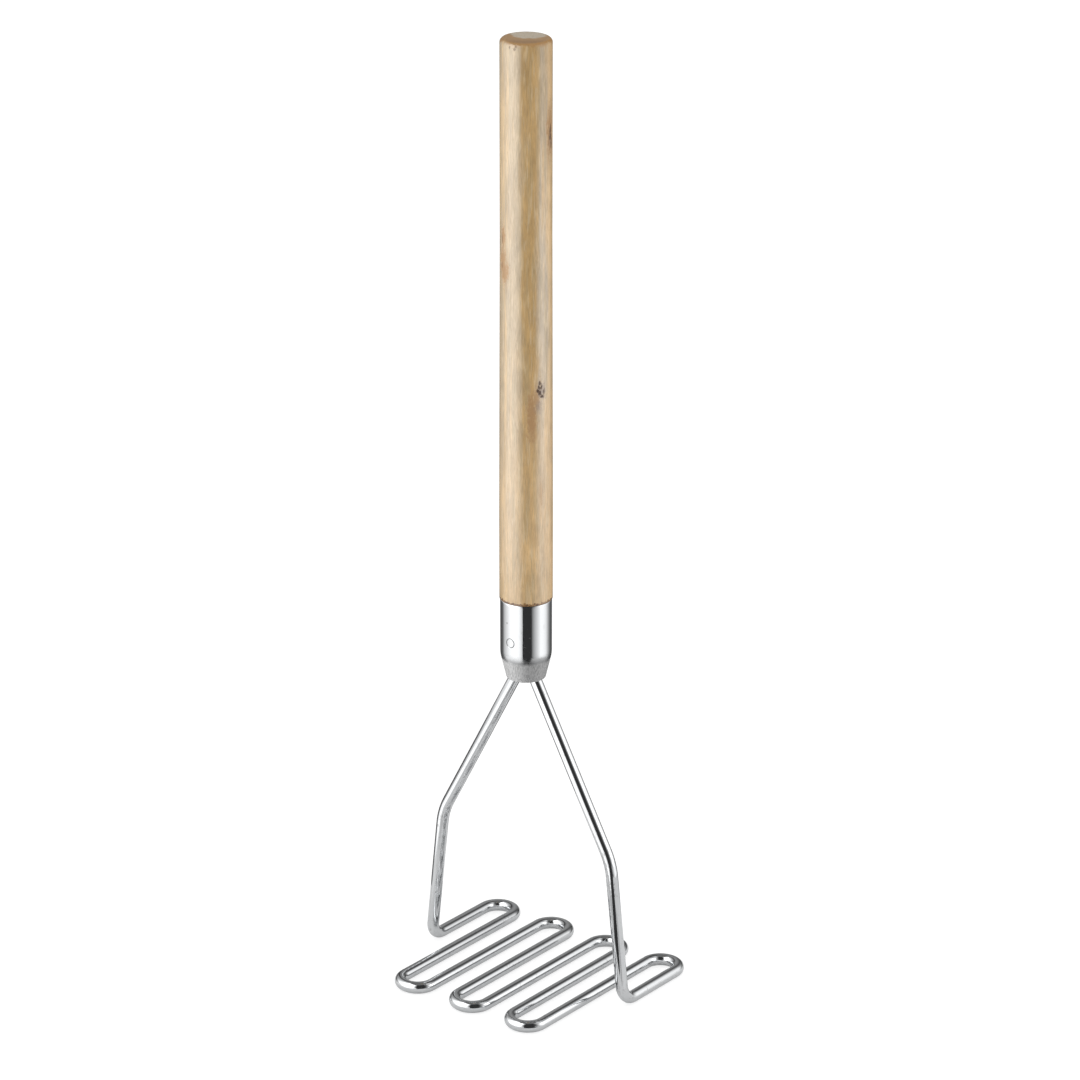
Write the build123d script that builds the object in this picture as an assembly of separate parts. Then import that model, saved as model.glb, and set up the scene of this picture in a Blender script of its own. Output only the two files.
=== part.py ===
from build123d import *
import math
import os

# Potato masher: a turned wooden handle seated in a tapered metal ferrule, a cross
# rivet that pins the two together, and one long wire. The wire goes up into the
# handle at both its ends and is bent into two legs and a flat, winding head.
#
# Millimetres. The head rests on Z = 0, the handle's axis is the Z axis, and the
# runs of the head lie along Y, side by side along X.

# Stack of heights along the handle's axis
yoke_height = 204.5  # floor to the lower face of the ferrule's nose
ferrule_length = 52.1
grip_length = 352.4  # wood that shows above the ferrule

# Wire
wire_diameter = 7.6
run_count = 8
run_pitch = 21.9
head_depth = 138.5  # front turns to back turns, outside
knee_half_width = 66.3  # handle's axis to the centreline at a knee
knee_height = 95.5
knee_bend_radius = 45.0  # bend radii are on the wire's centreline
foot_bend_radius = 10.5
shank_bend_radius = 8.0
shank_bend_height = 2.2  # corner of the shank bend above the nose's lower face
shank_in_wood = 65.0
shank_hole_clearance = 0.1  # radial, in the wood and in the nose
shank_hole_overrun = 1.0  # drilled past the shank's end

# Ferrule
ferrule_diameter = 31.9
ferrule_wall = 1.1
nose_length = 15.7  # tapered part, at the lower end
nose_floor = 1.3  # thickness of the nose's lower face
nose_lip = 0.8  # metal left outside the wire at the lower face
nose_edge_round = 0.5
taper_blend_radius = 20.0
rim_edge_round = 0.25

# Handle
handle_end_diameter = 31.4
handle_end_parallel = 120.0  # parallel length at the free end
handle_end_round = 3.0
handle_shoulder_step = 0.45  # how far the wood stands proud of the ferrule
handle_root_parallel = 55.0  # parallel length above the ferrule
shoulder_edge_round = 0.5
shoulder_gap = 0.2  # glue line between the wood's shoulder and the ferrule's rim
tenon_clearance = 0.08  # radial
tenon_end_gap = 1.0  # short of the taper inside the ferrule
tenon_end_chamfer = 0.8

# Cross rivet, along Y between the two shanks
rivet_diameter = 3.0
rivet_head_diameter = 5.6
rivet_head_land = 0.5  # straight edge of the head, above its cone
rivet_height = 26.5  # above the nose's lower face
rivet_clearance = 0.05  # radial
rivet_web = 0.4  # wood between the rivet and each shank

# Allowance by which a cutter passes the face that it cuts
cut_overrun = 2.0

# Places that follow from the sizes above
wire_radius = wire_diameter / 2
turn_radius = run_pitch / 2
turn_centre = head_depth / 2 - turn_radius - wire_radius
foot_half_width = (run_count - 1) * run_pitch / 2
run_height = wire_radius

nose_face = yoke_height
taper_top = nose_face + nose_length
shoulder = nose_face + ferrule_length
ferrule_rim = shoulder - shoulder_gap
handle_top = shoulder + grip_length

shank_offset = wire_radius + rivet_diameter / 2 + rivet_web
shank_corner = nose_face + shank_bend_height
shank_slope = (knee_half_width - shank_offset) / (shank_corner - knee_height)
shank_at_face = shank_offset + shank_bend_height * shank_slope

tenon_end = taper_top + tenon_end_gap
shank_top = tenon_end + shank_in_wood

ferrule_radius = ferrule_diameter / 2
bore_radius = ferrule_radius - ferrule_wall
shank_hole_radius = wire_radius + shank_hole_clearance
slant_stretch = math.hypot(1, shank_slope)
nose_radius = shank_at_face + shank_hole_radius * slant_stretch + nose_lip

handle_end_radius = handle_end_diameter / 2
handle_root_radius = ferrule_radius + handle_shoulder_step
tenon_radius = bore_radius - tenon_clearance

rivet_axis_height = nose_face + rivet_height


def outer_circle(turned, height):
    """The outermost circular edge of a turned piece at the given height."""
    circles = turned.edges().filter_by(GeomType.CIRCLE)
    return circles.filter_by_position(Axis.Z, height, height).sort_by(SortBy.RADIUS)[-1]


def turn_side(turn):
    """+1 for a turn at the back of the head, -1 for one at the front."""
    return 1 if turn % 2 == 0 else -1


def leg_edges(side, last_y):
    """Centreline of one leg, from the shank's end to the end of the half run it feeds."""
    with BuildLine() as leg:
        FilletPolyline(
            (side * shank_offset, 0, shank_top),
            (side * shank_offset, 0, shank_corner),
            (side * knee_half_width, 0, knee_height),
            (side * foot_half_width, 0, run_height),
            (side * foot_half_width, last_y, run_height),
            radius=(shank_bend_radius, knee_bend_radius, foot_bend_radius),
        )
    return leg.edges()


def head_edges():
    """Centreline of the winding head between the two half runs."""
    with BuildLine() as head:
        for turn in range(run_count - 1):
            side = turn_side(turn)
            near = -foot_half_width + turn * run_pitch
            far = near + run_pitch
            end = side * turn_centre
            ThreePointArc(
                (near, end, run_height),
                (near + turn_radius, end + side * turn_radius, run_height),
                (far, end, run_height),
            )
            if turn < run_count - 2:
                Line((far, end, run_height), (far, -end, run_height))
    return head.edges()


def swept_round(edges, radius):
    """Round bar of the given radius along a smooth chain of edges."""
    path = Wire(edges)
    section = Plane(origin=path @ 0, z_dir=path % 0) * Circle(radius)
    return sweep(section, path=path)


def wire_edges():
    """Centreline of the whole wire, from one shank's end to the other's."""
    left = leg_edges(-1, turn_side(0) * turn_centre)
    right = leg_edges(1, turn_side(run_count - 2) * turn_centre)
    return left + head_edges() + right


def shank_cutter(side):
    """The upper leg with clearance all round, which opens its hole in the nose."""
    with BuildLine() as shank:
        FilletPolyline(
            (side * shank_offset, 0, shank_top),
            (side * shank_offset, 0, shank_corner),
            (side * knee_half_width, 0, knee_height),
            radius=(shank_bend_radius,),
        )
    return swept_round(shank.edges(), shank_hole_radius)


def rivet_blank(clearance):
    """The rivet with clearance all round, its two heads longer than they end up."""
    shank_radius = rivet_diameter / 2 + clearance
    head_radius = rivet_head_diameter / 2 + clearance
    cone_height = head_radius - shank_radius
    head_edge = ferrule_radius - rivet_head_land
    half_length = ferrule_radius + cut_overrun
    with BuildSketch(Plane.XZ) as profile:
        with BuildLine():
            Polyline(
                (0, 0),
                (shank_radius, 0),
                (shank_radius, head_edge - cone_height),
                (head_radius, head_edge),
                (head_radius, half_length),
                (0, half_length),
                close=True,
            )
        make_face()
    half = revolve(profile.sketch, axis=Axis.Z)
    whole = half + mirror(half, about=Plane.XY)
    return Pos(0, 0, rivet_axis_height) * Rot(90, 0, 0) * whole


def cross_rivet():
    """The rivet, with heads dressed flush with the ferrule."""
    envelope = Pos(0, 0, rivet_axis_height) * Cylinder(ferrule_radius, ferrule_length)
    return rivet_blank(0) & envelope


def ferrule():
    """Drawn tube with a tapered nose, closed below but for the two shank holes."""
    with BuildPart() as shell:
        with BuildSketch(Plane.XZ):
            with BuildLine():
                Polyline(
                    (0, nose_face),
                    (nose_radius, nose_face),
                    (ferrule_radius, taper_top),
                    (ferrule_radius, ferrule_rim),
                    (bore_radius, ferrule_rim),
                    (bore_radius, taper_top),
                    (nose_radius - ferrule_wall, nose_face + nose_floor),
                    (0, nose_face + nose_floor),
                    close=True,
                )
            make_face()
        revolve(axis=Axis.Z)
        fillet(outer_circle(shell, nose_face), nose_edge_round)
        fillet(outer_circle(shell, taper_top), taper_blend_radius)
        fillet(outer_circle(shell, ferrule_rim), rim_edge_round)
    pierced = shell.part - shank_cutter(-1) - shank_cutter(1)
    return pierced - rivet_blank(rivet_clearance)


def handle():
    """Turned handle with a tenon below, drilled for the shanks and the rivet."""
    with BuildPart() as turned:
        with BuildSketch(Plane.XZ):
            with BuildLine():
                Polyline(
                    (0, tenon_end),
                    (tenon_radius, tenon_end),
                    (tenon_radius, shoulder),
                    (handle_root_radius, shoulder),
                    (handle_root_radius, shoulder + handle_root_parallel),
                    (handle_end_radius, handle_top - handle_end_parallel),
                    (handle_end_radius, handle_top),
                    (0, handle_top),
                    close=True,
                )
            make_face()
        revolve(axis=Axis.Z)
        fillet(outer_circle(turned, handle_top), handle_end_round)
        fillet(outer_circle(turned, shoulder), shoulder_edge_round)
        chamfer(outer_circle(turned, tenon_end), tenon_end_chamfer)

    hole_top = shank_top + shank_hole_overrun
    hole_bottom = tenon_end - cut_overrun
    hole = Cylinder(shank_hole_radius, hole_top - hole_bottom)
    hole_middle = (hole_top + hole_bottom) / 2
    drilled = turned.part
    for side in (-1, 1):
        drilled -= Pos(side * shank_offset, 0, hole_middle) * hole
    return drilled - rivet_blank(rivet_clearance)


os.makedirs("parts", exist_ok=True)
pieces = {
    "handle": handle(),
    "ferrule": ferrule(),
    "cross_rivet": cross_rivet(),
    "mashing_wire": swept_round(wire_edges(), wire_radius),
}
for name, piece in pieces.items():
    export_step(piece, f"parts/{name}.step")
    solids = piece.solids()
    volume = sum(solid.volume for solid in solids)
    print(name, len(solids), "solid", round(volume, 1), "mm3")

wire_length = Wire(wire_edges()).length
print("wire length", round(wire_length, 1), "mm")
print("section times length", round(math.pi * wire_radius**2 * wire_length, 1), "mm3")
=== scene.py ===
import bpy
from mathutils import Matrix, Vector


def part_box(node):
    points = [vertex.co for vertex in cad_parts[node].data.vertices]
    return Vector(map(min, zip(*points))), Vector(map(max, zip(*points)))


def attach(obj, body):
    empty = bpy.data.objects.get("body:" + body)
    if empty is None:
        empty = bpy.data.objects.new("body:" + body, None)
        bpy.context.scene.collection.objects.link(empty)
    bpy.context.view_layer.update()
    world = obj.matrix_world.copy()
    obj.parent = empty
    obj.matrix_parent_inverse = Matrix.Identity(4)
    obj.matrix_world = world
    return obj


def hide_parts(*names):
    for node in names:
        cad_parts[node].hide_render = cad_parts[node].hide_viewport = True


bl_info = {
    "name": "Potato masher",
    "version": (1, 0, 0),
    "blender": (4, 5, 0),
    "location": "3D View > Sidebar > Masher",
    "description": "Builds a long potato masher: turned handle, ferrule, rivet and bent wire",
    "category": "Add Mesh",
}

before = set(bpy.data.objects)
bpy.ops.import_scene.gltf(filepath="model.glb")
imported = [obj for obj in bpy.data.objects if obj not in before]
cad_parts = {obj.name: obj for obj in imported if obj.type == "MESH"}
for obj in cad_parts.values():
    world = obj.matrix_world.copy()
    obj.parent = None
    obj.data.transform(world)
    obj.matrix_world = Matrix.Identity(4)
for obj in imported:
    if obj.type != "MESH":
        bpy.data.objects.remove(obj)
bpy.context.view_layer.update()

import math

import bmesh
import bpy
from bpy.props import FloatProperty, FloatVectorProperty, IntProperty, PointerProperty
from mathutils import Color, Matrix, Vector

# Every length is in metres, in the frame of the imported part: the head rests on
# Z = 0, the handle's axis is the Z axis, and the runs of the head lie along Y.
MM = 0.001

HANDLE_LOW, HANDLE_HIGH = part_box("handle")
FERRULE_LOW, FERRULE_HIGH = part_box("ferrule")
WIRE_LOW, WIRE_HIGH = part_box("mashing_wire")


def number(name, description, default, **limits):
    """A number that a user can change."""
    return FloatProperty(name=name, description=description, default=default, **limits)


def length(name, description, default):
    """A size that a user can change, shown in the scene's own length unit."""
    return number(name, description, default, min=0.0, precision=5, unit="LENGTH")


def degrees(name, description, default):
    """An angle that a user can change, with its default in degrees."""
    return number(name, description, math.radians(default), subtype="ANGLE")


def count(name, description, default, low, high):
    """A whole number that a user can change."""
    return IntProperty(name=name, description=description, default=default, min=low, max=high)


def colour(name, description, default):
    """A colour that a user can change, in linear light."""
    return FloatVectorProperty(
        name=name, description=description, default=default, min=0.0, max=1.0, subtype="COLOR"
    )


class MASHER_PG_wire(bpy.types.PropertyGroup):
    wire_diameter: length("Wire diameter", "Thickness of the drawn wire", 7.6 * MM)
    runs: count("Runs", "Straight runs of the head, an even number", 8, 4, 16)
    head_width: length("Head width", "Outside of the two outer runs", WIRE_HIGH.x - WIRE_LOW.x)
    head_depth: length("Head depth", "Front turns to back turns, outside", WIRE_HIGH.y - WIRE_LOW.y)
    knee_half_width: length("Knee half width", "Handle's axis to a knee", 66.3 * MM)
    knee_height: length("Knee height", "Floor to a knee", 95.5 * MM)
    knee_bend: length("Knee bend", "Bend radius at the knees, on the centreline", 45.0 * MM)
    foot_bend: length("Foot bend", "Bend radius at the feet, on the centreline", 10.5 * MM)
    shank_bend: length("Shank bend", "Bend radius where the wire enters the ferrule", 8.0 * MM)
    shank_offset: length("Shank offset", "Handle's axis to a shank", 5.7 * MM)
    shank_corner: length("Shank corner", "Floor to the corner of the shank bend", 206.7 * MM)
    shank_top: length("Shank top", "Floor to the upper ends of the wire", WIRE_HIGH.z)
    around: count("Sides", "Faces round the wire", 44, 12, 96)
    bend_steps: count("Bend steps", "Divisions of each bend", 14, 3, 40)


class MASHER_PG_ferrule(bpy.types.PropertyGroup):
    outside_radius: length("Outside radius", "Half the tube's diameter", FERRULE_HIGH.x)
    wall: length("Wall", "Thickness of the tube", 1.1 * MM)
    nose_face: length("Nose face", "Floor to the lower face", FERRULE_LOW.z)
    rim: length("Rim", "Floor to the upper rim", FERRULE_HIGH.z)
    nose_length: length("Nose length", "Height of the tapered part", 15.7 * MM)
    nose_radius: length("Nose radius", "Radius of the lower face with a sharp edge", 12.15 * MM)
    nose_floor: length("Nose floor", "Thickness of the lower face", 1.3 * MM)
    nose_edge: length("Nose edge", "Rounding of the lower edge", 0.6 * MM)
    taper_blend: length("Taper blend", "Rounding where the taper meets the tube", 20.0 * MM)
    rim_edge: length("Rim edge", "Rounding of the upper rim", 0.25 * MM)
    clearance: length("Clearance", "Room round the wire in its holes", 0.1 * MM)
    sides: count("Sides", "Faces round the tube", 192, 24, 512)


class MASHER_PG_rivet(bpy.types.PropertyGroup):
    axis_height: length("Axis height", "Floor to the rivet's axis", 231.0 * MM)
    diameter: length("Diameter", "Thickness of the rivet", 3.0 * MM)
    head_diameter: length("Head diameter", "Width of each countersunk head", 5.6 * MM)
    head_land: length("Head land", "Straight edge of the head, above its cone", 0.5 * MM)
    edge: length("Edge", "Dressed edge of the head and of its seat", 0.28 * MM)
    clearance: length("Clearance", "Room round the rivet", 0.05 * MM)


class MASHER_PG_handle(bpy.types.PropertyGroup):
    top: length("Top", "Floor to the free end", HANDLE_HIGH.z)
    shoulder: length("Shoulder", "Floor to the shoulder above the ferrule", 256.6 * MM)
    tenon_end: length("Tenon end", "Floor to the end of the tenon", HANDLE_LOW.z)
    end_radius: length("End radius", "Half the diameter at the free end", 15.7 * MM)
    root_radius: length("Root radius", "Half the diameter above the ferrule", 16.4 * MM)
    tenon_radius: length("Tenon radius", "Half the diameter inside the ferrule", 14.77 * MM)
    end_parallel: length("End parallel", "Parallel length at the free end", 120.0 * MM)
    root_parallel: length("Root parallel", "Parallel length above the ferrule", 55.0 * MM)
    end_round: length("End round", "Rounding of the free end", 3.0 * MM)
    shoulder_edge: length("Shoulder edge", "Rounding of the shoulder", 0.5 * MM)
    tenon_chamfer: length("Tenon chamfer", "Chamfer of the tenon", 0.8 * MM)
    hole_overrun: length("Hole overrun", "Drilled past the wire's ends", 1.0 * MM)
    sides: count("Sides", "Faces round the handle", 144, 24, 512)


class MASHER_PG_finishes(bpy.types.PropertyGroup):
    # Cream and pink are laid by the bands at the camera's left and right, and there they also carry
    # painted sheen
    cream: colour("Cream wood", "Pale cream streaks", (0.56, 0.42, 0.25))
    straw: colour("Straw wood", "Warm yellow streaks", (0.78, 0.54, 0.27))
    pink: colour("Pink wood", "Pale greyish pink streaks", (0.51, 0.40, 0.27))
    peach: colour("Peach wood", "Warm streaks near the ferrule", (0.72, 0.485, 0.245))
    heart: colour("Heartwood", "Warm brown band through the handle", (0.57, 0.365, 0.15))
    grey: colour("Grey wood", "Cool grey streaks", (0.47, 0.36, 0.20))
    tan: colour("Tan wood", "Fine warm brown streaks", (0.46, 0.305, 0.14))
    pale: colour("Pale wood", "Fine light streaks", (0.70, 0.54, 0.33))
    fibre: colour("Fibre", "Fine dark fibres and pores", (0.34, 0.21, 0.09))
    stain: colour("Stain", "Caramel stain by the knots and the end's edge", (0.42, 0.225, 0.075))
    halo: colour("Halo", "Purplish grey wood beside a knot", (0.27, 0.195, 0.15))
    knot: colour("Knot", "Dark spots of the knots", (0.085, 0.040, 0.018))
    end_grain: colour("End grain", "Flat free end", (0.59, 0.52, 0.41))
    # The glue line is partly painted shade where the wood meets the ferrule's rim
    glue_and_shade: colour("Glue", "Glue line at the shoulder", (0.30, 0.16, 0.055))
    chrome: colour("Chrome", "Chrome plate", (0.63, 0.64, 0.65))
    worn_chrome: colour("Worn chrome", "Dull marks on the plate", (0.42, 0.42, 0.42))
    brushed: colour("Brushed metal", "Tapered nose of the ferrule", (0.51, 0.51, 0.51))
    seam: colour("Seam", "Line round the rivet, and pits", (0.16, 0.16, 0.16))


class MASHER_PG_stage(bpy.types.PropertyGroup):
    camera_place: FloatVectorProperty(
        name="Camera place",
        description="Where the camera stands",
        default=(1.60468, -2.0626, 1.28532),
        unit="LENGTH",
    )
    camera_elevation: degrees("Camera elevation", "How far the camera looks down", 21.041)
    camera_turn: degrees("Camera turn", "How far the camera is turned about Z", 37.883)
    camera_lens: number("Lens", "Focal length in millimetres", 152.64, min=10.0)
    shift_across: number("Shift across", "Sideways shift of the view", 0.01291, precision=5)
    shift_up: number("Shift up", "Upward shift of the view", 0.01976, precision=5)
    ambient: number("Ambient", "Strength of the soft light from all round", 0.93, min=0.0)
    left_lamp: number("Left lamp", "Power of the left softbox", 2.4, min=0.0, unit="POWER")
    right_lamp: number("Right lamp", "Power of the right softbox", 2.4, min=0.0, unit="POWER")
    card_radius: length("Card radius", "Handle's axis to the cards", 0.45)
    card_top: length("Card top", "Floor to the upper edge of the cards", 1.1)
    floor_white: number("Floor white", "Strength of the floor's own white", 1.3, min=0.0)
    floor_seen: number("Floor seen", "Share of it that the camera sees", 0.60, min=0.0, max=1.0)
    floor_reflected: number("Floor reflected", "Share of it in reflections", 0.08, min=0.0, max=1.0)


class MASHER_PG_all(bpy.types.PropertyGroup):
    wire: PointerProperty(type=MASHER_PG_wire)
    ferrule: PointerProperty(type=MASHER_PG_ferrule)
    rivet: PointerProperty(type=MASHER_PG_rivet)
    handle: PointerProperty(type=MASHER_PG_handle)
    finishes: PointerProperty(type=MASHER_PG_finishes)
    stage: PointerProperty(type=MASHER_PG_stage)


# Node trees


class Net:
    """Adds nodes to one tree and joins them up as it goes."""

    def __init__(self, tree):
        self.tree = tree

    def join(self, value, socket):
        if isinstance(value, bpy.types.NodeSocket):
            self.tree.links.new(value, socket)
        else:
            socket.default_value = value

    def node(self, kind, inputs=(), **settings):
        made = self.tree.nodes.new(kind)
        for name, value in settings.items():
            setattr(made, name, value)
        pairs = inputs.items() if isinstance(inputs, dict) else enumerate(inputs)
        for socket, value in pairs:
            self.join(value, made.inputs[socket])
        return made

    def add(self, kind, inputs=(), output=0, **settings):
        return self.node(kind, inputs, **settings).outputs[output]

    def math(self, operation, *values):
        return self.add("ShaderNodeMath", values, operation=operation)

    def plus(self, first, second):
        return self.math("ADD", first, second)

    def minus(self, first, second):
        return self.math("SUBTRACT", first, second)

    def times(self, first, second):
        return self.math("MULTIPLY", first, second)

    def vector(self, operation, *values):
        return self.add("ShaderNodeVectorMath", values, operation=operation)

    def xyz(self, x, y, z):
        return self.add("ShaderNodeCombineXYZ", (x, y, z))

    def spread(self, value, low, high, to_low=0.0, to_high=1.0, kind="SMOOTHSTEP"):
        """Value from low to high mapped to the new range, and held beyond it."""
        ends = {"From Min": low, "From Max": high, "To Min": to_low, "To Max": to_high}
        return self.add("ShaderNodeMapRange", {"Value": value, **ends}, interpolation_type=kind)

    def slope(self, value, low, high, to_low=0.0, to_high=1.0):
        """The same in a straight line."""
        return self.spread(value, low, high, to_low, to_high, "LINEAR")


def linked(name, data):
    """A new object in the scene."""
    made = bpy.data.objects.new(name, data)
    bpy.context.scene.collection.objects.link(made)
    return made


# The wire: one path of straight lines and bends, swept with a circle


# Those of the wire's settings that are whole numbers
WIRE_COUNTS = ("runs", "around", "bend_steps")
# Corners of one leg: shank's end, shank bend, knee and foot
LEG_POINTS = 4


def index_switch(net, index, values):
    """Picks one of the values by a whole number."""
    made = net.tree.nodes.new("GeometryNodeIndexSwitch")
    made.data_type = "FLOAT"
    while len(made.index_switch_items) < len(values):
        made.index_switch_items.new()
    net.join(index, made.inputs[0])
    for place, value in enumerate(values):
        net.join(value, made.inputs[place + 1])
    return made.outputs[0]


def capture(net, geometry, value, kind):
    """Keeps a value on the geometry's points, so that later steps can read it."""
    made = net.tree.nodes.new("GeometryNodeCaptureAttribute")
    made.capture_items.new(kind, "Kept")
    net.join(geometry, made.inputs[0])
    net.join(value, made.inputs[1])
    return made.outputs[0], made.outputs[1]


def bent_wire_tree():
    """
    Corner points of the wire by their number, rounded by each bend's radius, then
    swept. The group's inputs are the wire's settings, by name, and its finish.
    """
    tree = bpy.data.node_groups.new("bent_wire", "GeometryNodeTree")
    face = tree.interface
    face.new_socket("Geometry", in_out="INPUT", socket_type="NodeSocketGeometry")
    for name in MASHER_PG_wire.__annotations__:
        kind = "NodeSocketInt" if name in WIRE_COUNTS else "NodeSocketFloat"
        face.new_socket(name, in_out="INPUT", socket_type=kind)
    face.new_socket("Finish", in_out="INPUT", socket_type="NodeSocketMaterial")
    face.new_socket("Geometry", in_out="OUTPUT", socket_type="NodeSocketGeometry")
    net = Net(tree)
    given = net.node("NodeGroupInput").outputs

    wire_radius = net.math("DIVIDE", given["wire_diameter"], 2.0)
    turns = net.minus(given["runs"], 1.0)
    foot_half_width = net.minus(net.math("DIVIDE", given["head_width"], 2.0), wire_radius)
    pitch = net.math("DIVIDE", net.times(foot_half_width, 2.0), turns)
    turn_reach = net.minus(net.math("DIVIDE", given["head_depth"], 2.0), wire_radius)
    corners = net.plus(net.times(turns, 2.0), 2.0 * LEG_POINTS)

    index = net.add("GeometryNodeInputIndex")
    from_end = net.minus(net.minus(corners, 1.0), index)
    along_leg = net.math("MINIMUM", index, from_end)
    on_leg = net.math("LESS_THAN", along_leg, LEG_POINTS - 0.5)
    side = net.math("SIGN", net.minus(index, from_end))
    shank = given["shank_offset"]
    across = (shank, shank, given["knee_half_width"], foot_half_width)
    heights = (given["shank_top"], given["shank_corner"], given["knee_height"], wire_radius)
    bends = (0.0, given["shank_bend"], given["knee_bend"], given["foot_bend"])
    leg_across, leg_height, leg_bend = (
        index_switch(net, along_leg, values) for values in (across, heights, bends)
    )
    leg_point = net.xyz(net.times(side, leg_across), 0.0, leg_height)

    corner = net.minus(index, float(LEG_POINTS))
    run = net.math("FLOOR", net.math("DIVIDE", net.plus(corner, 1.0), 2.0))
    turn = net.math("FLOOR", net.math("DIVIDE", corner, 2.0))
    turn_side = net.minus(1.0, net.times(net.math("FLOORED_MODULO", turn, 2.0), 2.0))
    head_across = net.minus(net.times(run, pitch), foot_half_width)
    head_point = net.xyz(head_across, net.times(turn_side, turn_reach), wire_radius)

    half_pitch = net.math("DIVIDE", pitch, 2.0)
    place, bend = (
        net.add(
            "GeometryNodeSwitch", {"Switch": on_leg, "False": head, "True": leg}, input_type=kind
        )
        for kind, head, leg in (("VECTOR", head_point, leg_point), ("FLOAT", half_pitch, leg_bend))
    )

    points = net.add("GeometryNodePoints", {"Count": corners, "Position": place})
    path = net.add("GeometryNodePointsToCurves", {"Points": points, "Weight": index})
    path = net.add(
        "GeometryNodeFilletCurve",
        {"Curve": path, "Radius": bend, "Limit Radius": True, "Count": given["bend_steps"]},
        mode="POLY",
    )
    along = net.add("GeometryNodeSplineParameter", output="Length")
    path, along = capture(net, path, along, "FLOAT")
    section = net.add(
        "GeometryNodeCurvePrimitiveCircle", {"Resolution": given["around"], "Radius": wire_radius}
    )
    section, around = capture(net, section, net.add("GeometryNodeInputPosition"), "VECTOR")
    swept = net.add(
        "GeometryNodeCurveToMesh", {"Curve": path, "Profile Curve": section, "Fill Caps": True}
    )
    drawn = net.vector("ADD", around, net.xyz(0.0, 0.0, along))
    swept = net.add(
        "GeometryNodeStoreNamedAttribute",
        {"Geometry": swept, "Name": "drawn", "Value": drawn},
        data_type="FLOAT_VECTOR",
        domain="POINT",
    )
    swept = net.add("GeometryNodeSetShadeSmooth", {"Geometry": swept})
    whole = net.add("GeometryNodeRealizeInstances", {"Geometry": swept})
    finished = net.add("GeometryNodeSetMaterial", {"Geometry": whole, "Material": given["Finish"]})
    net.node("NodeGroupOutput", {"Geometry": finished})
    return tree


def bent_wire(name, sizes, finish, **changed):
    """A plain mesh of the wire. Changed sizes make a cutter of the same form."""
    tree = bpy.data.node_groups.get("bent_wire") or bent_wire_tree()
    base = linked(name + "_path", bpy.data.meshes.new(name + "_path"))
    modifier = base.modifiers.new("Bent wire", "NODES")
    modifier.node_group = tree
    names = MASHER_PG_wire.__annotations__
    values = {each: changed.get(each, getattr(sizes, each)) for each in names}
    values["Finish"] = finish
    for item in tree.interface.items_tree:
        if item.in_out == "INPUT" and item.name in values:
            modifier[item.identifier] = values[item.name]
    return settled(base, name)


def settled(base, name):
    """The evaluated object as a plain mesh object with no modifiers; the base object goes."""
    bpy.context.view_layer.update()
    depsgraph = bpy.context.evaluated_depsgraph_get()
    mesh = bpy.data.meshes.new_from_object(base.evaluated_get(depsgraph), depsgraph=depsgraph)
    if not mesh.polygons:
        raise RuntimeError(f"{name} came out empty")
    mesh.name = name
    bpy.data.objects.remove(base)
    return linked(name, mesh)


# Turned pieces

# Angle between the points of a rounded corner, and the fewest steps that it has
ROUNDING_STEP = math.radians(7)
LEAST_STEPS = 4
# Longest straight part of each outline
TUBE_STEP = 1.5 * MM
HANDLE_STEP = 4.0 * MM
RIVET_STEP = 0.4 * MM
RIVET_SIDES = 64
# A radius below this lies on the axis
ON_AXIS = 1e-7
# By how much a cutter passes the face that it cuts
CUT_OVERRUN = 2.0 * MM
# How far below the edge of the rivet's head its points are bent to follow the tube
HEAD_MARGIN = 0.1 * MM
# Points nearer than this are merged after a cut
WELD_DISTANCE = 0.002 * MM
# Angles in degrees above which an edge is kept sharp
PIECE_CREASE = 32.0
WIRE_CREASE = 60.0


def rounded(corners, step):
    """Outline through corners of (radius, height, rounding), with long lines divided."""
    ends = [Vector(corner[:2]) for corner in corners]
    outline = [ends[0]]
    for place in range(1, len(ends) - 1):
        here, rounding = ends[place], corners[place][2]
        back = (ends[place - 1] - here).normalized()
        ahead = (ends[place + 1] - here).normalized()
        if rounding == 0.0:
            outline.append(here)
            continue
        half = back.angle(ahead) / 2
        centre = here + (back + ahead).normalized() * (rounding / math.sin(half))
        start = here + back * (rounding / math.tan(half)) - centre
        end = here + ahead * (rounding / math.tan(half)) - centre
        turn = start.angle_signed(end)
        steps = max(LEAST_STEPS, round(abs(turn) / ROUNDING_STEP))
        for part in range(steps + 1):
            outline.append(centre + Matrix.Rotation(-turn * part / steps, 2) @ start)
    outline.append(ends[-1])
    divided = [outline[0]]
    for before, after in zip(outline, outline[1:]):
        parts = max(1, math.ceil((after - before).length / step))
        divided += [before.lerp(after, part / parts) for part in range(1, parts + 1)]
    return divided


def turned(name, outline, sides):
    """Solid of revolution about Z, from an outline that starts and ends on the axis."""
    shape = bmesh.new()
    angles = [2 * math.pi * side / sides for side in range(sides)]
    rings = []
    for radius, height in outline:
        if radius < ON_AXIS:
            rings.append([shape.verts.new((0.0, 0.0, height))])
            continue
        points = [(radius * math.cos(a), radius * math.sin(a), height) for a in angles]
        rings.append([shape.verts.new(point) for point in points])
    for low, high in zip(rings, rings[1:]):
        for side in range(sides):
            after = (side + 1) % sides
            if len(low) == 1:
                shape.faces.new((low[0], high[after], high[side]))
            elif len(high) == 1:
                shape.faces.new((low[side], low[after], high[0]))
            else:
                shape.faces.new((low[side], low[after], high[after], high[side]))
    bmesh.ops.recalc_face_normals(shape, faces=shape.faces)
    mesh = bpy.data.meshes.new(name)
    shape.to_mesh(mesh)
    shape.free()
    return linked(name, mesh)


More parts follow.
